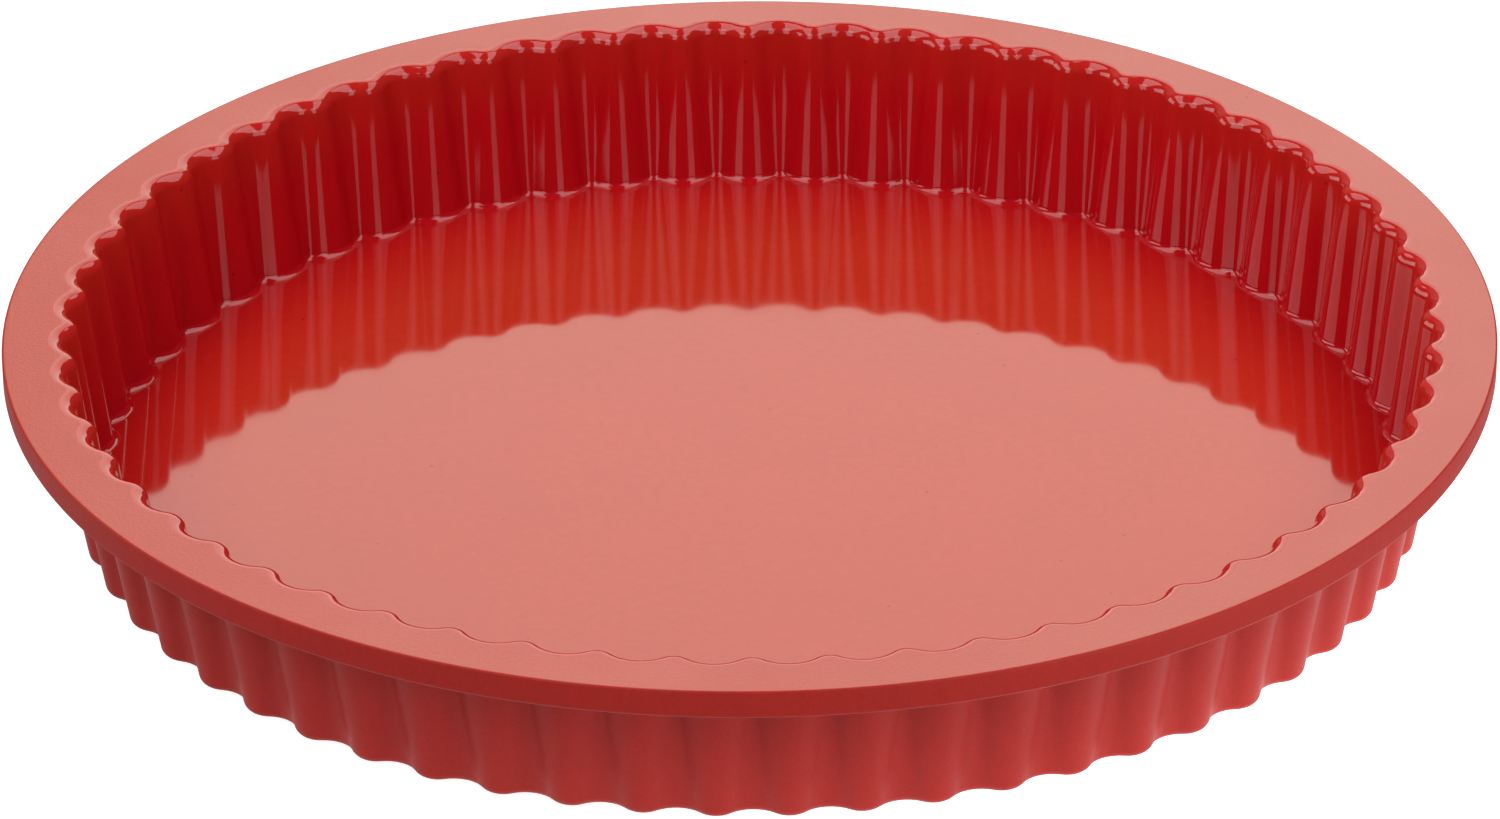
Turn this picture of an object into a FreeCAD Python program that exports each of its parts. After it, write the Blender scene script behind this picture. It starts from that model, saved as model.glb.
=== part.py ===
import FreeCAD, Part
import math
import os

# A round fluted flan mould, moulded in one piece in silicone rubber: a thin flat floor,
# a low fluted wall that leans outwards, and a broad flat rim with a thick outer band.
# Millimetres. +Z is up, and the origin is the centre of the base's underside.

# Driving dimensions
rim_diameter = 300.0        # across the rim's round outer edge
overall_height = 35.8       # from the base's underside to the rim's flat top
mouth_diameter = 280.8      # across the mouth, lobe to lobe, where the rim's flat top ends
rim_thickness = 5.8         # height of the rim's outer band
base_thickness = 1.1        # floor
wall_at_floor = 2.5         # wall, measured level, where it meets the floor
wall_at_rim = 4.0           # wall, measured level, under the rim
inner_draft = 6.7           # degrees that the inside of the wall leans outwards

flute_count = 60
groove_radius = 1.17        # in plan, of the outside's grooves, just under the rim
lobe_radius = 1.1           # in plan, of the flutes' hollows, where they run into the floor

mouth_edge_radius = 2.8     # from the rim's top into the inside of the wall
floor_corner_radius = 1.6   # from the inside of the wall into the floor
base_corner_radius = 2.3    # from the outside of the wall into the base's underside
rim_underside_radius = 0.5  # from the outside of the wall into the rim's underside
band_top_radius = 0.4       # top edge of the rim's outer band
band_bottom_radius = 0.8    # bottom edge of the rim's outer band

joint_gap = 1e-7            # edges shorter than this are left out
sewing_tolerance = 1e-5

up = FreeCAD.Vector(0, 0, 1)
base_centre = FreeCAD.Vector(0, 0, 0)

# Heights
rim_top_z = overall_height
rim_underside_z = overall_height - rim_thickness
floor_z = base_thickness
base_z = 0.0

# In plan the wall has the same outline at every height, moved inwards or outwards by an
# offset. Offsets are level distances from the outline of the mouth, outwards positive.
inner_slope = math.tan(math.radians(inner_draft))
# The wall leans back from the floor and from the rim's top by the same angle, so a round
# between either and the wall begins this many radii from the sharp corner.
corner_reach = math.tan(math.radians(90.0 - inner_draft) / 2.0)

inner_top_offset = -corner_reach * mouth_edge_radius
inner_floor_offset = inner_top_offset - inner_slope * (rim_top_z - floor_z)
floor_edge_offset = inner_floor_offset - corner_reach * floor_corner_radius
outer_top_offset = inner_top_offset - inner_slope * rim_thickness + wall_at_rim
outer_floor_offset = inner_floor_offset + wall_at_floor
outer_slope = (outer_top_offset - outer_floor_offset) / (rim_underside_z - floor_z)
outer_base_offset = outer_floor_offset - outer_slope * (floor_z - base_z)

# A flute is two arcs in plan that touch: a lobe that bulges outwards and a crest that
# points inwards. Their centres stay put from base to rim, so each arc sweeps a cone.
# The narrow crests of the inside are the outside's grooves with the wall's thickness added.
half_pitch = math.pi / flute_count
crest_radius = groove_radius + outer_top_offset
lobe_radius_at_mouth = lobe_radius - floor_edge_offset
lobe_centre = mouth_diameter / 2.0 - lobe_radius_at_mouth
crest_centre = lobe_centre * math.cos(half_pitch) + math.sqrt(
    (lobe_radius_at_mouth + crest_radius)**2 - (lobe_centre * math.sin(half_pitch))**2)
lobe_half_angle = math.atan2(crest_centre * math.sin(half_pitch),
                             crest_centre * math.cos(half_pitch) - lobe_centre)
crest_half_angle = lobe_half_angle - half_pitch

# Each arc: distance of its centre from the mould's axis, distance of the mouth's outline
# from that axis at the arc's middle, half its angle, and the direction it lies in
lobe_arc = (lobe_centre, mouth_diameter / 2.0, lobe_half_angle, half_pitch)
crest_arc = (crest_centre, crest_centre - crest_radius, crest_half_angle, 0.0)


def section_point(offset, z):
    return FreeCAD.Vector(offset, 0, z)


def rounded_section(corners, radii):
    """Edges from the first corner to the last, each corner between rounded to its radius."""
    edges = []
    start = corners[0]
    for corner, following, radius in zip(corners[1:-1], corners[2:], radii):
        back = (start - corner).normalize()
        ahead = (following - corner).normalize()
        half_corner = back.getAngle(ahead) / 2.0
        reach = radius / math.tan(half_corner)
        middle = (back + ahead).normalize()
        centre = corner + middle * (radius / math.sin(half_corner))
        first = corner + back * reach
        last = corner + ahead * reach
        if (first - start).Length > joint_gap:
            edges.append(Part.LineSegment(start, first).toShape())
        edges.append(Part.Arc(first, centre - middle * radius, last).toShape())
        start = last
    if (corners[-1] - start).Length > joint_gap:
        edges.append(Part.LineSegment(start, corners[-1]).toShape())
    return edges


def all_flutes(shapes_of_arc):
    """The shapes that shapes_of_arc makes for a lobe and for a crest, once for each flute."""
    shapes = []
    for *arc, direction in (lobe_arc, crest_arc):
        pattern = shapes_of_arc(*arc)
        for flute in range(flute_count):
            turn = math.degrees(direction) + flute * 360.0 / flute_count
            shapes.extend(shape.rotated(base_centre, up, turn) for shape in pattern)
    return shapes


def fluted_faces(section):
    """Faces that a section, drawn as offset and height, sweeps round the fluted outline."""
    def faces_of_arc(centre, mouth_place, half_angle):
        axis_foot = FreeCAD.Vector(centre, 0, 0)
        faces = []
        for edge in section:
            placed = edge.translated(FreeCAD.Vector(mouth_place, 0, 0))
            placed = placed.rotated(axis_foot, up, -math.degrees(half_angle))
            faces.append(placed.revolve(axis_foot, up, 2.0 * math.degrees(half_angle)))
        return faces
    return all_flutes(faces_of_arc)


def fluted_wire(offset, z):
    """The closed outline at an offset and a height."""
    def edges_of_arc(centre, mouth_place, half_angle):
        reach = mouth_place + offset - centre
        first, middle, last = (
            FreeCAD.Vector(centre + reach * math.cos(angle), reach * math.sin(angle), z)
            for angle in (-half_angle, 0.0, half_angle))
        return [Part.Arc(first, middle, last).toShape()]
    return Part.Wire(Part.__sortEdges__(all_flutes(edges_of_arc)))


def round_wire(radius, z):
    return Part.Wire(Part.makeCircle(radius, FreeCAD.Vector(0, 0, z), up))


def level_ring(outer_wire, inner_wire):
    return Part.makeFace([outer_wire, inner_wire], "Part::FaceMakerBullseye")


def flan_mould():
    """The whole moulding: inside, rim, outside and base, sewn into one solid."""
    inside = rounded_section(
        [section_point(0.0, rim_top_z),
         section_point(inner_top_offset, rim_top_z),
         section_point(inner_floor_offset, floor_z),
         section_point(floor_edge_offset, floor_z)],
        [mouth_edge_radius, floor_corner_radius])
    outside = rounded_section(
        [section_point(outer_top_offset + rim_thickness, rim_underside_z),
         section_point(outer_top_offset, rim_underside_z),
         section_point(outer_base_offset, base_z),
         section_point(outer_base_offset - rim_thickness, base_z)],
        [rim_underside_radius, base_corner_radius])
    # The level ends of the outside section belong to the rim's underside and to the base
    outside = outside[1:-1]
    underside_edge_offset = outside[0].Vertexes[0].Point.x
    base_edge_offset = outside[-1].Vertexes[-1].Point.x

    rim_radius = rim_diameter / 2.0
    band = rounded_section(
        [FreeCAD.Vector(rim_radius - band_top_radius, 0, rim_top_z),
         FreeCAD.Vector(rim_radius, 0, rim_top_z),
         FreeCAD.Vector(rim_radius, 0, rim_underside_z),
         FreeCAD.Vector(rim_radius - band_bottom_radius, 0, rim_underside_z)],
        [band_top_radius, band_bottom_radius])
    band_faces = [edge.revolve(base_centre, up, 360.0) for edge in band]

    floor = Part.Face(fluted_wire(floor_edge_offset, floor_z))
    rim_top = level_ring(round_wire(rim_radius - band_top_radius, rim_top_z),
                         fluted_wire(0.0, rim_top_z))
    rim_underside = level_ring(round_wire(rim_radius - band_bottom_radius, rim_underside_z),
                               fluted_wire(underside_edge_offset, rim_underside_z))
    base = Part.Face(fluted_wire(base_edge_offset, base_z))

    faces = fluted_faces(inside) + fluted_faces(outside) + band_faces
    faces += [floor, rim_top, rim_underside, base]
    skin = Part.makeCompound(faces)
    skin.sewShape(sewing_tolerance)
    solid = Part.Solid(skin.Shells[0])
    if solid.Volume < 0:
        solid.reverse()
    return solid


os.makedirs("parts", exist_ok=True)
mould = flan_mould()
mould.exportStep("parts/flan_mould.step")

flute_depth = mouth_diameter / 2.0 - (crest_centre - crest_radius)
print("flan_mould: valid", mould.isValid(), "volume mm3", round(mould.Volume, 1),
      "faces", len(mould.Faces), "flute depth mm", round(flute_depth, 3),
      "outer draft deg", round(math.degrees(math.atan(outer_slope)), 2),
      "box", mould.BoundBox)
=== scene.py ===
import math

import bpy
import numpy as np
from mathutils import Matrix, Vector


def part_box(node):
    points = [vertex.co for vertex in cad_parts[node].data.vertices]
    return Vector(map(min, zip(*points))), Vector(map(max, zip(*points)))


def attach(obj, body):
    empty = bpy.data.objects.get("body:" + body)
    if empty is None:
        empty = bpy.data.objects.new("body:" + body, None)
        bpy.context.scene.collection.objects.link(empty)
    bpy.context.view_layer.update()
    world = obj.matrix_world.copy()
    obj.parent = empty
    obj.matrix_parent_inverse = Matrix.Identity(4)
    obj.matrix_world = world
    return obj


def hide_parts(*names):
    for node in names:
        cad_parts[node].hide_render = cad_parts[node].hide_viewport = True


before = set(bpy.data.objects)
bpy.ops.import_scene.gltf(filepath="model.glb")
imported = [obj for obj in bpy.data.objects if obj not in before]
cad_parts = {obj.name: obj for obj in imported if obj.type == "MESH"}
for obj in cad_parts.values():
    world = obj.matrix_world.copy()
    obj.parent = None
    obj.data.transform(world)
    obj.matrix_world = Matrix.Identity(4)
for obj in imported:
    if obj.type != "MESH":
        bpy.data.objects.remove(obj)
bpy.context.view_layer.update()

# ---------------------------------------------------------------------------
# The moulding's outline in plan. The toolmaker cuts sixty flutes round the
# wall: wide lobes that bulge outwards, and narrow crests between them. Every
# face of the wall keeps this outline, moved in or out by a level distance.
# ---------------------------------------------------------------------------
FLUTES = 60
MOUTH_RADIUS = 0.1404        # to the lobes, where the rim's flat top ends
CREST_RADIUS = 0.0020        # in plan, at the mouth
LOBE_RADIUS = 0.0091         # in plan, at the mouth
LOBE_STEPS = 11              # facets across one lobe
CREST_STEPS = 8              # facets across one crest


def fluted_outline():
    """Points and outward normals of the mouth's outline, anticlockwise from a lobe's edge.

    A lobe is an arc about a centre inside the outline and a crest is an arc about a centre
    outside it. The two touch, so their centres are the sum of the two radii apart, which
    with half the pitch angle between them gives the crest's distance from the axis."""
    half_pitch = math.pi / FLUTES
    lobe_centre = MOUTH_RADIUS - LOBE_RADIUS
    level = lobe_centre * math.sin(half_pitch)
    crest_centre = lobe_centre * math.cos(half_pitch) + math.sqrt(
        (LOBE_RADIUS + CREST_RADIUS) ** 2 - level ** 2)
    lobe_half = math.atan2(crest_centre * math.sin(half_pitch),
                           crest_centre * math.cos(half_pitch) - lobe_centre)
    crest_half = lobe_half - half_pitch
    lobe_turn = np.linspace(-lobe_half, lobe_half, LOBE_STEPS + 1)
    crest_turn = np.linspace(crest_half, -crest_half, CREST_STEPS + 1)[1:-1]
    start = np.arange(FLUTES)[:, None] * 2.0 * half_pitch
    ends = []
    for direction, turn, centre, reach in (
            (start, lobe_turn, lobe_centre, LOBE_RADIUS),
            (start + half_pitch, crest_turn, crest_centre, -CREST_RADIUS)):
        angle = direction + half_pitch + turn
        normal = np.stack([np.cos(angle), np.sin(angle)], -1)
        middle = direction + half_pitch
        foot = centre * np.stack([np.cos(middle), np.sin(middle)], -1)
        ends.append((foot + reach * normal, normal))
    points = np.concatenate([ends[0][0], ends[1][0]], 1).reshape(-1, 2)
    normals = np.concatenate([ends[0][1], ends[1][1]], 1).reshape(-1, 2)
    return points, normals


outline, outline_normal = fluted_outline()
outline_direction = outline / np.linalg.norm(outline, axis=1)[:, None]

# ---------------------------------------------------------------------------
# The moulding's upright section. One shot of red silicone rubber fills a thin
# floor, a wall that leans outwards and thickens upwards, and a broad rim with
# a deep outer band. Every edge has the small round that the tool leaves.
# ---------------------------------------------------------------------------
mould_low, mould_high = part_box("flan_mould")
RIM_RADIUS = 0.150
RIM_TOP = mould_high.z
BASE = mould_low.z
BAND = 0.0058                # height of the rim's outer band
FLOOR = 0.0011               # thickness of the floor
WALL_AT_FLOOR = 0.0025
WALL_AT_RIM = 0.0040
INNER_DRAFT = math.radians(6.7)
MOUTH_ROUND = 0.0028
FLOOR_ROUND = 0.0016
BASE_ROUND = 0.0023
UNDERSIDE_ROUND = 0.0005
BAND_TOP_ROUND = 0.0004
BAND_FOOT_ROUND = 0.0008


def rounded(corners, rounds, arc_steps, run_steps):
    """Section points along straight runs between corners, each corner a tangent arc.

    An arc of radius r in a corner of half angle h begins r / tan(h) from it, and its
    centre lies r / sin(h) along the line that halves the corner."""
    corners = [np.array(c, float) for c in corners]
    path = []
    start = corners[0]
    for corner, following, radius, arcs, runs in zip(
            corners[1:-1], corners[2:], rounds, arc_steps, run_steps):
        back = (start - corner) / np.linalg.norm(start - corner)
        ahead = (following - corner) / np.linalg.norm(following - corner)
        half = math.acos(np.clip(back @ ahead, -1.0, 1.0)) / 2.0
        first = corner + back * radius / math.tan(half)
        last = corner + ahead * radius / math.tan(half)
        centre = corner + (back + ahead) / np.linalg.norm(back + ahead) * radius / math.sin(half)
        path.append(start + (first - start) * np.linspace(0, 1, runs + 1)[:-1, None])
        a, b = first - centre, last - centre
        sweep = math.acos(np.clip(a @ b / radius ** 2, -1.0, 1.0))
        t = np.linspace(0, 1, arcs + 1)[:-1, None]
        path.append(centre + (np.sin((1 - t) * sweep) * a + np.sin(t * sweep) * b)
                    / math.sin(sweep))
        start = last
    path.append(start + (corners[-1] - start) * np.linspace(0, 1, run_steps[-1] + 1)[:, None])
    return np.concatenate(path)


floor_top = BASE + FLOOR
underside = RIM_TOP - BAND
# Level distances from the mouth's outline, outwards positive. A round between a level face and
# the inside of the wall begins corner_reach radii from the sharp corner.
corner_reach = math.tan((math.pi / 2 - INNER_DRAFT) / 2)
inner_top = -corner_reach * MOUTH_ROUND
inner_foot = inner_top - math.tan(INNER_DRAFT) * (RIM_TOP - floor_top)
floor_edge = inner_foot - corner_reach * FLOOR_ROUND
outer_top = inner_top - math.tan(INNER_DRAFT) * BAND + WALL_AT_RIM
outer_foot = inner_foot + WALL_AT_FLOOR
outer_slope = (outer_top - outer_foot) / (underside - floor_top)
outer_base = outer_foot - outer_slope * FLOOR

# Left out of the paths: the inside's first point, which the second one repeats, and the far
# ends of the outside and the band, which lie in flats that other rings divide. The inside's last
# point repeats the one before it, so there is a ring of faces without area at the mouth's edge.
inside = rounded(
    [(floor_edge, floor_top), (inner_foot, floor_top), (inner_top, RIM_TOP), (0.0, RIM_TOP)],
    [FLOOR_ROUND, MOUTH_ROUND], arc_steps=[10, 18], run_steps=[1, 4, 1])[1:]
outside = rounded(
    [(outer_top + BAND, underside), (outer_top, underside), (outer_base, BASE),
     (outer_base - BAND, BASE)],
    [UNDERSIDE_ROUND, BASE_ROUND], arc_steps=[4, 8], run_steps=[1, 4, 1])[1:-1]
band = rounded(
    [(RIM_RADIUS - BAND, RIM_TOP), (RIM_RADIUS, RIM_TOP), (RIM_RADIUS, underside),
     (RIM_RADIUS - BAND, underside)],
    [BAND_TOP_ROUND, BAND_FOOT_ROUND], arc_steps=[5, 6], run_steps=[1, 3, 1])[1:-1]

# ---------------------------------------------------------------------------
# The moulding's skin, as one closed surface. The section is swept round the
# outline: it starts at the middle of the floor, climbs the wall, crosses the
# rim, goes down the band and the outside, and ends under the base's middle.
# ---------------------------------------------------------------------------
POLISHED, SATIN, MATT = 0, 1, 2          # places in the list of materials
# Where rings divide the flats, closer together near an edge
DISC_SHARES = [0.05, 0.3, 0.6, 0.85, 0.97, 0.995]
RIM_TOP_SHARES = [0.04, 0.35, 0.7, 0.97]
RIM_UNDERSIDE_SHARES = [0.04, 0.5, 0.96]


def swept(section):
    """Rings of points: the outline moved outwards by each section point's offset, at its
    height."""
    plan = outline[None] + section[:, None, :1] * outline_normal[None]
    height = np.broadcast_to(section[:, None, 1:], plan.shape[:2] + (1,))
    return np.concatenate([plan, height], 2)


def turned(section):
    """Rings of points: true circles of each section point's radius, at its height."""
    plan = section[:, None, :1] * outline_direction[None]
    height = np.broadcast_to(section[:, None, 1:], plan.shape[:2] + (1,))
    return np.concatenate([plan, height], 2)


def between(first, last, shares):
    """Rings that divide the flat between two rings at the given shares of the way."""
    share = np.array(shares)[:, None, None]
    return first[None] * (1 - share) + last[None] * share


def middle_of(ring, shares):
    """Rings of a flat, shrunk towards the mould's axis to the given shares of their size."""
    return np.stack([np.column_stack([ring[:, :2] * share, ring[:, 2]]) for share in shares])


inside_rings = swept(inside)
outside_rings = swept(outside)
band_rings = turned(band)
floor_rings = middle_of(inside_rings[0], DISC_SHARES)
top_rings = between(inside_rings[-1], band_rings[0], RIM_TOP_SHARES)
under_rings = between(band_rings[-1], outside_rings[0], RIM_UNDERSIDE_SHARES)
base_rings = middle_of(outside_rings[-1], DISC_SHARES[::-1])
zones = [(floor_rings, POLISHED), (inside_rings, POLISHED), (top_rings, SATIN),
         (band_rings, MATT), (under_rings, MATT), (outside_rings, MATT), (base_rings, MATT)]
rings = np.concatenate([zone_rings for zone_rings, finish in zones])
ring_finish = np.concatenate([np.full(len(zone_rings), finish) for zone_rings, finish in zones])


def closed_skin(name, rings, finish):
    """A mesh from a stack of closed rings, with a fan of triangles over each end ring.

    Point j of ring i is vertex i * n + j, and the two poles are the last two vertices."""
    count, n = rings.shape[:2]
    poles = np.array([[0, 0, rings[0, 0, 2]], [0, 0, rings[-1, 0, 2]]])
    points = np.concatenate([rings.reshape(-1, 3), poles])
    i, j = np.meshgrid(np.arange(count - 1), np.arange(n), indexing="ij")
    k = (j + 1) % n
    quads = np.stack([i * n + j, (i + 1) * n + j, (i + 1) * n + k, i * n + k], -1).reshape(-1, 4)
    around = np.arange(n)
    following = (around + 1) % n
    last = (count - 1) * n
    fans = np.concatenate([
        np.stack([np.full(n, count * n), around, following], -1),
        np.stack([np.full(n, count * n + 1), last + following, last + around], -1)])
    mesh = bpy.data.meshes.new(name)
    mesh.from_pydata(points.tolist(), [], quads.tolist() + fans.tolist())
    of_quads = np.repeat(finish[:-1], n)
    of_fans = np.repeat([finish[0], finish[-1]], n)
    mesh.polygons.foreach_set("material_index", np.concatenate([of_quads, of_fans]).astype("i"))
    mesh.shade_smooth()
    mesh.update()
    return mesh


# ---------------------------------------------------------------------------
# The silicone's finish. One red rubber throughout: the core of the tool is
# polished, so the inside is glossy, and the rim's top and the outside keep
# the fine grain of the blasted cavity.
# ---------------------------------------------------------------------------
SILICONE_IOR = 1.41
GRAIN_SIZE = 0.0006          # metres
LEANING, LEVEL = 0.86, 0.995             # height of a normal where the painted light on faces that look up begins, and is full
PAINTED_LIGHT_FADE = 0.030            # metres inwards of its edge over which the painted light thins
PAINTED_LIGHT_BEYOND = 0.15           # share of the painted light from its edge outwards
PAINTED_HAZE_FROM = 0.020         # height where the painted haze of reflected light begins
PAINTED_HAZE_TO = 0.034           # height from which it is full
CLOUDS_PER_METRE = 30.0
DRAW_MARKS_PER_METRE = 500.0
DRAW_MARK_SHAPE = (1.0, 1.0, 0.1)        # ten times as high as they are wide
MOTTLE_PER_METRE = 1400.0
SWING_TO_SHADE = 4.0
CRUMBS_PER_METRE = 90.0
CRUMB_DARKNESS = 0.4
SMEARS_PER_METRE = 22.0
LINT_PER_METRE = 900.0
SMEAR_SHARE, LINT_SHARE = 0.8, 0.2
CLEAN_BELOW, HANDLED_ABOVE = 0.38, 0.66  # of the smears and lint taken together


def new_group(name, inputs, outputs):
    """An empty node group, its input node and its output node.

    Inputs are given as (label, kind, default) and outputs as (label, kind)."""
    group = bpy.data.node_groups.new(name, "ShaderNodeTree")
    for label, kind, value in inputs:
        socket = group.interface.new_socket(label, in_out="INPUT", socket_type=kind)
        socket.default_value = value
    for label, kind in outputs:
        group.interface.new_socket(label, in_out="OUTPUT", socket_type=kind)
    start = group.nodes.new("NodeGroupInput")
    end = group.nodes.new("NodeGroupOutput")
    return group, start, end


def add_noise(tree, vector, scale, detail, roughness):
    """A noise's value at a place, 0.5 on average. Scale is a number or a socket, per metre."""
    node = tree.nodes.new("ShaderNodeTexNoise")
    node.inputs["Detail"].default_value = detail
    node.inputs["Roughness"].default_value = roughness
    tree.links.new(vector, node.inputs["Vector"])
    if isinstance(scale, (int, float)):
        node.inputs["Scale"].default_value = scale
    else:
        tree.links.new(scale, node.inputs["Scale"])
    return node.outputs["Fac"]


def add_math(tree, operation, a, b):
    """The result of an operation on two values, each a number or a socket."""
    node = tree.nodes.new("ShaderNodeMath")
    node.operation = operation
    for socket, value in zip(node.inputs, (a, b)):
        if isinstance(value, (int, float)):
            socket.default_value = value
        else:
            tree.links.new(value, socket)
    return node.outputs[0]


def add_mix(tree, share, first, second):
    """A colour that is first where share is 0 and second where it is 1."""
    node = tree.nodes.new("ShaderNodeMix")
    node.data_type = "RGBA"
    tree.links.new(share, node.inputs["Factor"])
    tree.links.new(first, node.inputs[6])
    tree.links.new(second, node.inputs[7])
    return node.outputs[2]


def add_spread(tree, value, low, high, to_low, to_high):
    """A value that goes evenly from to_low to to_high as value goes from low to high, and
    stays at the nearer of the two outside that range."""
    node = tree.nodes.new("ShaderNodeMapRange")
    for label, setting in (("From Min", low), ("From Max", high),
                           ("To Min", to_low), ("To Max", to_high)):
        if isinstance(setting, (int, float)):
            node.inputs[label].default_value = setting
        else:
            tree.links.new(setting, node.inputs[label])
    tree.links.new(value, node.inputs["Value"])
    return node.outputs["Result"]


def make_grain_group():
    """Height of a moulded grain: a fine noise, with the slower swell of rubber as it cures."""
    group, start, end = new_group(
        "moulded_grain",
        [("Grain per metre", "NodeSocketFloat", 2500.0), ("Grain", "NodeSocketFloat", 1.0),
         ("Swell per metre", "NodeSocketFloat", 90.0), ("Swell", "NodeSocketFloat", 1.0)],
        [("Height", "NodeSocketFloat")])
    place = group.nodes.new("ShaderNodeTexCoord").outputs["Object"]
    grain = add_noise(group, place, start.outputs["Grain per metre"], 3.0, 0.6)
    swell = add_noise(group, place, start.outputs["Swell per metre"], 1.0, 0.4)
    total = add_math(group, "ADD", add_math(group, "MULTIPLY", grain, start.outputs["Grain"]),
                     add_math(group, "MULTIPLY", swell, start.outputs["Swell"]))
    group.links.new(total, end.inputs["Height"])
    return group


def make_pigment_and_painted_light_group():
    """Red of the rubber with painted light: its own red, mixed with a paler, more orange red
    by a share of painted light.

    The share is the larger of two. Painted light on faces that look up is a smoothstep of the
    normal's height, and thins as the distance from the axis nears the edge it is given. A
    painted haze of reflected light grows with height up to the amount it is given. Cloudy
    noise, upright draw marks and a fine mottle lighten and darken the mixture: each adds four
    times its amount times its noise less a half to a shade of 1. Dark crumbs, where a cell's
    middle is nearer than Crumbs, take 0.4 from it."""
    group, start, end = new_group(
        "red_pigment_and_painted_light",
        [("Own red", "NodeSocketColor", (0.5, 0.004, 0.008, 1)),
         ("Painted light red", "NodeSocketColor", (0.5, 0.03, 0.015, 1)),
         ("Cloud", "NodeSocketFloat", 0.05), ("Draw marks", "NodeSocketFloat", 0.05),
         ("Mottle", "NodeSocketFloat", 0.05), ("Crumbs", "NodeSocketFloat", 0.05),
         ("Painted light edge", "NodeSocketFloat", 1.0), ("Painted haze", "NodeSocketFloat", 0.0)],
        [("Color", "NodeSocketColor")])
    coordinates = group.nodes.new("ShaderNodeTexCoord")
    place = coordinates.outputs["Object"]
    facing = group.nodes.new("ShaderNodeSeparateXYZ")
    group.links.new(coordinates.outputs["Normal"], facing.inputs[0])
    # Painted light: faces that look up get a paler, more orange red, thinning out towards the edge the
    # group is given
    painted_light_up = group.nodes.new("ShaderNodeMapRange")
    painted_light_up.interpolation_type = "SMOOTHSTEP"
    painted_light_up.inputs["From Min"].default_value = LEANING
    painted_light_up.inputs["From Max"].default_value = LEVEL
    group.links.new(facing.outputs["Z"], painted_light_up.inputs["Value"])
    across = group.nodes.new("ShaderNodeVectorMath")
    across.operation = "LENGTH"
    group.links.new(place, across.inputs[0])
    inner = add_math(group, "SUBTRACT", start.outputs["Painted light edge"], PAINTED_LIGHT_FADE)
    thins = add_spread(group, across.outputs["Value"], inner, start.outputs["Painted light edge"],
                       1.0, PAINTED_LIGHT_BEYOND)
    height = group.nodes.new("ShaderNodeSeparateXYZ")
    group.links.new(place, height.inputs[0])
    # Painted haze of reflected light: paler towards the top, by height
    painted_haze = add_spread(group, height.outputs["Z"], PAINTED_HAZE_FROM, PAINTED_HAZE_TO,
                         0.0, start.outputs["Painted haze"])
    # The share of the paler red is the larger of the two painted lights
    painted_light_share = add_math(group, "MAXIMUM", painted_haze,
                    add_math(group, "MULTIPLY", painted_light_up.outputs["Result"], thins))
    base = add_mix(group, painted_light_share, start.outputs["Own red"], start.outputs["Painted light red"])
    upright = group.nodes.new("ShaderNodeMapping")
    upright.inputs["Scale"].default_value = DRAW_MARK_SHAPE
    group.links.new(place, upright.inputs["Vector"])
    cloud = add_noise(group, place, CLOUDS_PER_METRE, 4.0, 0.55)
    draw_mark = add_noise(group, upright.outputs["Vector"], DRAW_MARKS_PER_METRE, 2.0, 0.5)
    mottle = add_noise(group, place, MOTTLE_PER_METRE, 2.0, 0.6)
    shade = 1.0
    for texture, amount in ((cloud, "Cloud"), (draw_mark, "Draw marks"), (mottle, "Mottle")):
        swing = add_math(group, "MULTIPLY", add_math(group, "SUBTRACT", texture, 0.5),
                         start.outputs[amount])
        shade = add_math(group, "ADD", add_math(group, "MULTIPLY", swing, SWING_TO_SHADE), shade)
    cells = group.nodes.new("ShaderNodeTexVoronoi")
    cells.inputs["Scale"].default_value = CRUMBS_PER_METRE
    group.links.new(place, cells.inputs["Vector"])
    crumb = add_math(group, "LESS_THAN", cells.outputs["Distance"], start.outputs["Crumbs"])
    shade = add_math(group, "SUBTRACT", shade,
                     add_math(group, "MULTIPLY", crumb, CRUMB_DARKNESS))
    tone = group.nodes.new("ShaderNodeVectorMath")
    tone.operation = "SCALE"
    group.links.new(base, tone.inputs[0])
    group.links.new(shade, tone.inputs["Scale"])
    group.links.new(tone.outputs["Vector"], end.inputs["Color"])
    return group


def make_wear_group():
    """Roughness that goes from Clean to Handled with smears, where hands and dough have been,
    and a fine speckle of lint, added together by their shares."""
    group, start, end = new_group(
        "handled_surface",
        [("Clean", "NodeSocketFloat", 0.3), ("Handled", "NodeSocketFloat", 0.4)],
        [("Roughness", "NodeSocketFloat")])
    place = group.nodes.new("ShaderNodeTexCoord").outputs["Object"]
    smear = add_noise(group, place, SMEARS_PER_METRE, 3.0, 0.6)
    lint = add_noise(group, place, LINT_PER_METRE, 2.0, 0.5)
    wear = add_math(group, "ADD", add_math(group, "MULTIPLY", smear, SMEAR_SHARE),
                    add_math(group, "MULTIPLY", lint, LINT_SHARE))
    value = add_spread(group, wear, CLEAN_BELOW, HANDLED_ABOVE,
                       start.outputs["Clean"], start.outputs["Handled"])
    group.links.new(value, end.inputs["Roughness"])
    return group


grain_group = make_grain_group()
pigment_and_painted_light_group = make_pigment_and_painted_light_group()
wear_group = make_wear_group()


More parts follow.
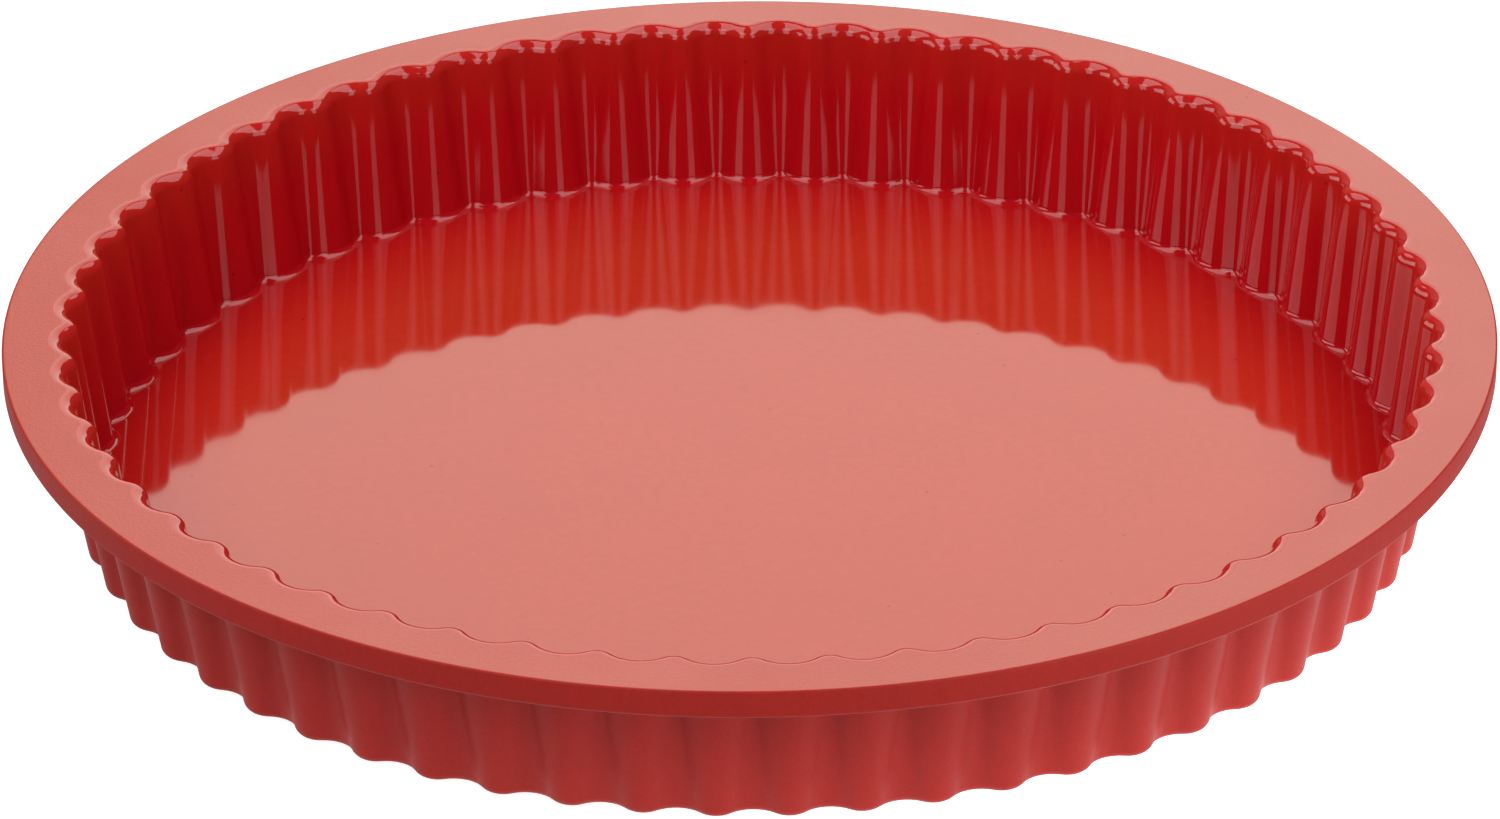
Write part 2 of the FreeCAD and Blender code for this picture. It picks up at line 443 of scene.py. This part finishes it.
def silicone(name, own_red, painted_light_red, blotches_and_painted_light, sheen, clean, handled, grain, swell,
             bump_depth):
    """Silicone rubber with one surface finish.

    The dictionary gives the amounts of the group's blotches and painted light, by name. Clean
    and handled are roughnesses. Grain and swell are shares of bump_depth, which is in metres."""
    material = bpy.data.materials.new(name)
    material.use_nodes = True
    tree = material.node_tree
    shader = tree.nodes["Principled BSDF"]
    shader.inputs["IOR"].default_value = SILICONE_IOR
    shader.inputs["Specular IOR Level"].default_value = sheen
    pigment_and_painted_light = tree.nodes.new("ShaderNodeGroup")
    pigment_and_painted_light.node_tree = pigment_and_painted_light_group
    pigment_and_painted_light.inputs["Own red"].default_value = (*own_red, 1)
    pigment_and_painted_light.inputs["Painted light red"].default_value = (*painted_light_red, 1)
    for label, amount in blotches_and_painted_light.items():
        pigment_and_painted_light.inputs[label].default_value = amount
    tree.links.new(pigment_and_painted_light.outputs["Color"], shader.inputs["Base Color"])
    wear = tree.nodes.new("ShaderNodeGroup")
    wear.node_tree = wear_group
    wear.inputs["Clean"].default_value = clean
    wear.inputs["Handled"].default_value = handled
    tree.links.new(wear.outputs["Roughness"], shader.inputs["Roughness"])
    relief = tree.nodes.new("ShaderNodeGroup")
    relief.node_tree = grain_group
    relief.inputs["Grain per metre"].default_value = 1.0 / GRAIN_SIZE
    relief.inputs["Grain"].default_value = grain
    relief.inputs["Swell"].default_value = swell
    bump = tree.nodes.new("ShaderNodeBump")
    bump.inputs["Distance"].default_value = bump_depth
    tree.links.new(relief.outputs["Height"], bump.inputs["Height"])
    tree.links.new(bump.outputs["Normal"], shader.inputs["Normal"])
    return material


skin = bpy.data.objects.new("flan_mould_skin", closed_skin("flan_mould_skin", rings, ring_finish))
bpy.context.collection.objects.link(skin)
# Each finish's second red is painted light on faces that look up; the polished finish also has a
# painted haze of reflected light high on the inner wall
skin.data.materials.append(silicone(
    "polished_silicone", own_red=(0.405, 0.002, 0.006), painted_light_red=(0.42, 0.023, 0.010),
    blotches_and_painted_light={"Cloud": 0.03, "Draw marks": 0.05, "Mottle": 0.01, "Crumbs": 0.035,
              "Painted light edge": 0.131, "Painted haze": 0.4},
    sheen=0.65, clean=0.045, handled=0.08, grain=0.02, swell=0.3, bump_depth=0.00001))
skin.data.materials.append(silicone(
    "satin_silicone", own_red=(0.41, 0.006, 0.009), painted_light_red=(0.40, 0.022, 0.010),
    blotches_and_painted_light={"Cloud": 0.03, "Draw marks": 0.0, "Mottle": 0.09, "Crumbs": 0.035,
              "Painted light edge": 1.0, "Painted haze": 0.0},
    sheen=0.85, clean=0.30, handled=0.36, grain=1.0, swell=0.5, bump_depth=0.00004))
skin.data.materials.append(silicone(
    "matt_silicone", own_red=(0.305, 0.0115, 0.0075), painted_light_red=(0.36, 0.020, 0.010),
    blotches_and_painted_light={"Cloud": 0.04, "Draw marks": 0.03, "Mottle": 0.09, "Crumbs": 0.0,
              "Painted light edge": 1.0, "Painted haze": 0.0},
    sheen=0.25, clean=0.46, handled=0.56, grain=1.0, swell=1.0, bump_depth=0.00006))
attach(skin, "root")
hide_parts("flan_mould")

# ---------------------------------------------------------------------------
# The studio: a wide white table, a backdrop in two panels, a window on the
# left and a low card on the right, two tiers of softboxes on each side of the
# camera, and two canopies overhead.
# ---------------------------------------------------------------------------
TABLE_REACH = 3.0            # half the table's width
TABLE_GAP = 0.0001           # under the mould, so that the two don't share a surface
TABLE_TOP = BASE - TABLE_GAP
TABLE_IN_PICTURE = 0.85      # least strength of the table's glow for the camera
POOL_NEAR, POOL_FAR = 0.58, 0.05         # strength of the pool of light, inside and outside
POOL_FROM, POOL_TO = 0.148, 0.174        # distances from the axis between which it fades
POOL_LEFT, POOL_RIGHT = 0.5, 3.0         # factor on the pool at the mould's left and right
POOL_SIDE = 0.15                         # distance from the axis at which that factor is full
AIR_GLOW = 0.06
BACKDROP_TINT = (1.0, 1.0, 0.86)
CANOPY_HEIGHT = 1.5
CANOPY_WIDTH = 1.0
CANOPY_LENGTH = 2.4
CANOPY_SLANT = 15.0          # degrees, in plan
CANOPY_GAP = 0.40            # from the mould's axis to the middle of each inner edge
CANOPY_BACK = -0.25

table_corners = [(x * TABLE_REACH, y * TABLE_REACH, TABLE_TOP)
                 for x, y in ((-1, -1), (1, -1), (1, 1), (-1, 1))]
table_mesh = bpy.data.meshes.new("studio_table")
table_mesh.from_pydata(table_corners, [], [(0, 1, 2, 3)])
table = bpy.data.objects.new("studio_table", table_mesh)
bpy.context.collection.objects.link(table)
paper = bpy.data.materials.new("white_paper")
paper.use_nodes = True
paper_tree = paper.node_tree
paper_shader = paper_tree.nodes["Principled BSDF"]
paper_shader.inputs["Base Color"].default_value = (0.40, 0.40, 0.40, 1)
paper_shader.inputs["Roughness"].default_value = 0.9
paper_shader.inputs["Emission Color"].default_value = (1, 1, 1, 1)
# The camera sees the table burnt out to white. To the mould it is a dim lamp: a pool of light
# round the base, stronger on the right.
seen = paper_tree.nodes.new("ShaderNodeLightPath").outputs["Is Camera Ray"]
on_table = paper_tree.nodes.new("ShaderNodeTexCoord").outputs["Object"]
reach = paper_tree.nodes.new("ShaderNodeVectorMath")
reach.operation = "LENGTH"
paper_tree.links.new(on_table, reach.inputs[0])
across = paper_tree.nodes.new("ShaderNodeSeparateXYZ")
paper_tree.links.new(on_table, across.inputs[0])
pool = add_math(paper_tree, "MULTIPLY",
                add_spread(paper_tree, reach.outputs["Value"], POOL_FROM, POOL_TO,
                           POOL_NEAR, POOL_FAR),
                add_spread(paper_tree, across.outputs["X"], -POOL_SIDE, POOL_SIDE,
                           POOL_LEFT, POOL_RIGHT))
glow = add_math(paper_tree, "MAXIMUM", pool,
                add_math(paper_tree, "MULTIPLY", seen, TABLE_IN_PICTURE))
paper_tree.links.new(glow, paper_shader.inputs["Emission Strength"])
# From below, the table is out of the way and the mould's underside can be seen
from_below = paper_tree.nodes.new("ShaderNodeNewGeometry").outputs["Backfacing"]
from_above = add_math(paper_tree, "SUBTRACT", 1.0, from_below)
paper_tree.links.new(from_above, paper_shader.inputs["Alpha"])
table_mesh.materials.append(paper)


def area_light(name, width, height, radiance, tint=(1, 1, 1)):
    """A rectangular light. Its power is radiance times pi times area."""
    light = bpy.data.lights.new(name, "AREA")
    light.shape = "RECTANGLE"
    light.size = width
    light.size_y = height
    light.energy = radiance * math.pi * width * height
    light.color = tint
    lamp = bpy.data.objects.new(name, light)
    bpy.context.collection.objects.link(lamp)
    return lamp


def softbox(name, azimuth, elevation, distance, width, height, radiance, lean=0.0, tint=(1, 1, 1)):
    """An area light that faces the middle of the mould's base, leaning sideways by lean.

    Angles are in degrees. Azimuth 0 is behind the mould, and 180 is at the camera's side."""
    lamp = area_light(name, width, height, radiance, tint)
    a, e = math.radians(azimuth), math.radians(elevation)
    place = distance * Vector((math.sin(a) * math.cos(e), math.cos(a) * math.cos(e), math.sin(e)))
    lamp.matrix_world = (Matrix.Translation(place)
                         @ place.to_track_quat("Z", "Y").to_matrix().to_4x4()
                         @ Matrix.Rotation(math.radians(lean), 4, "Z"))


def canopy(name, side, radiance):
    """A level area light overhead, to the left where side is -1 and to the right where it is 1.

    Its inner edge slants in towards the back. Its middle is half its width from the gap's
    edge, along (side times cos slant, sin slant), so the left one is nearer the camera."""
    lamp = area_light(name, CANOPY_WIDTH, CANOPY_LENGTH, radiance)
    slant = math.radians(CANOPY_SLANT * side)
    gap_edge = Vector((side * CANOPY_GAP, CANOPY_BACK, CANOPY_HEIGHT))
    outwards = Vector((side * math.cos(slant), math.sin(slant), 0.0))
    lamp.matrix_world = (Matrix.Translation(gap_edge + outwards * CANOPY_WIDTH / 2)
                         @ Matrix.Rotation(slant, 4, "Z"))


# Each softbox: azimuth, elevation, distance, width, height, radiance
softbox("backdrop_light", 8.5, 31.0, 3.0, 1.8, 2.2, 2.12, tint=BACKDROP_TINT)
softbox("backdrop_left", -29.0, 28.0, 3.0, 1.7, 2.0, 0.3, tint=BACKDROP_TINT)
softbox("left_window", -82.0, 18.0, 2.0, 1.6, 0.8, 2.9)
softbox("right_card", 114.0, 2.1, 0.55, 0.9, 0.03, 20.0, tint=(1.0, 0.97, 0.92))
softbox("left_wing", -151.0, 18.0, 2.6, 1.0, 1.2, 2.5, lean=-5.0)
softbox("right_wing", 149.0, 18.0, 2.6, 0.85, 1.2, 2.2, lean=5.0)
softbox("left_upper_wing", -150.0, 41.0, 2.6, 1.15, 0.9, 2.5, lean=-5.0)
softbox("right_upper_wing", 149.0, 41.0, 2.6, 0.95, 0.9, 2.3, lean=5.0)
canopy("left_canopy", -1.0, 2.75)
canopy("right_canopy", 1.0, 2.80)

world = bpy.data.worlds.new("studio_air")
world.use_nodes = True
world.node_tree.nodes["Background"].inputs["Color"].default_value = (1, 1, 1, 1)
world.node_tree.nodes["Background"].inputs["Strength"].default_value = AIR_GLOW
bpy.context.scene.world = world

# ---------------------------------------------------------------------------
# The camera: a long lens well back from the table, aimed at the mould's axis
# a little above the floor, and leaning a fraction of a degree.
# ---------------------------------------------------------------------------
LENS = 186.5                 # millimetres, on a sensor 36 mm wide
CAMERA_DISTANCE = 1.5736
CAMERA_ELEVATION = math.radians(28.11)
CAMERA_LEAN = math.radians(-0.42)
AIM = Vector((0.0, 0.0, 0.01472))

camera_data = bpy.data.cameras.new("camera")
camera_data.lens = LENS
camera_data.sensor_width = 36.0
camera_data.sensor_fit = "HORIZONTAL"
camera_data.clip_end = 20.0
camera = bpy.data.objects.new("camera", camera_data)
bpy.context.collection.objects.link(camera)
back = Vector((0.0, -math.cos(CAMERA_ELEVATION), math.sin(CAMERA_ELEVATION)))
camera.matrix_world = (Matrix.Translation(AIM + back * CAMERA_DISTANCE)
                       @ back.to_track_quat("Z", "Y").to_matrix().to_4x4()
                       @ Matrix.Rotation(CAMERA_LEAN, 4, "Z"))
bpy.context.scene.camera = camera
bpy.context.scene.view_settings.view_transform = "Standard"
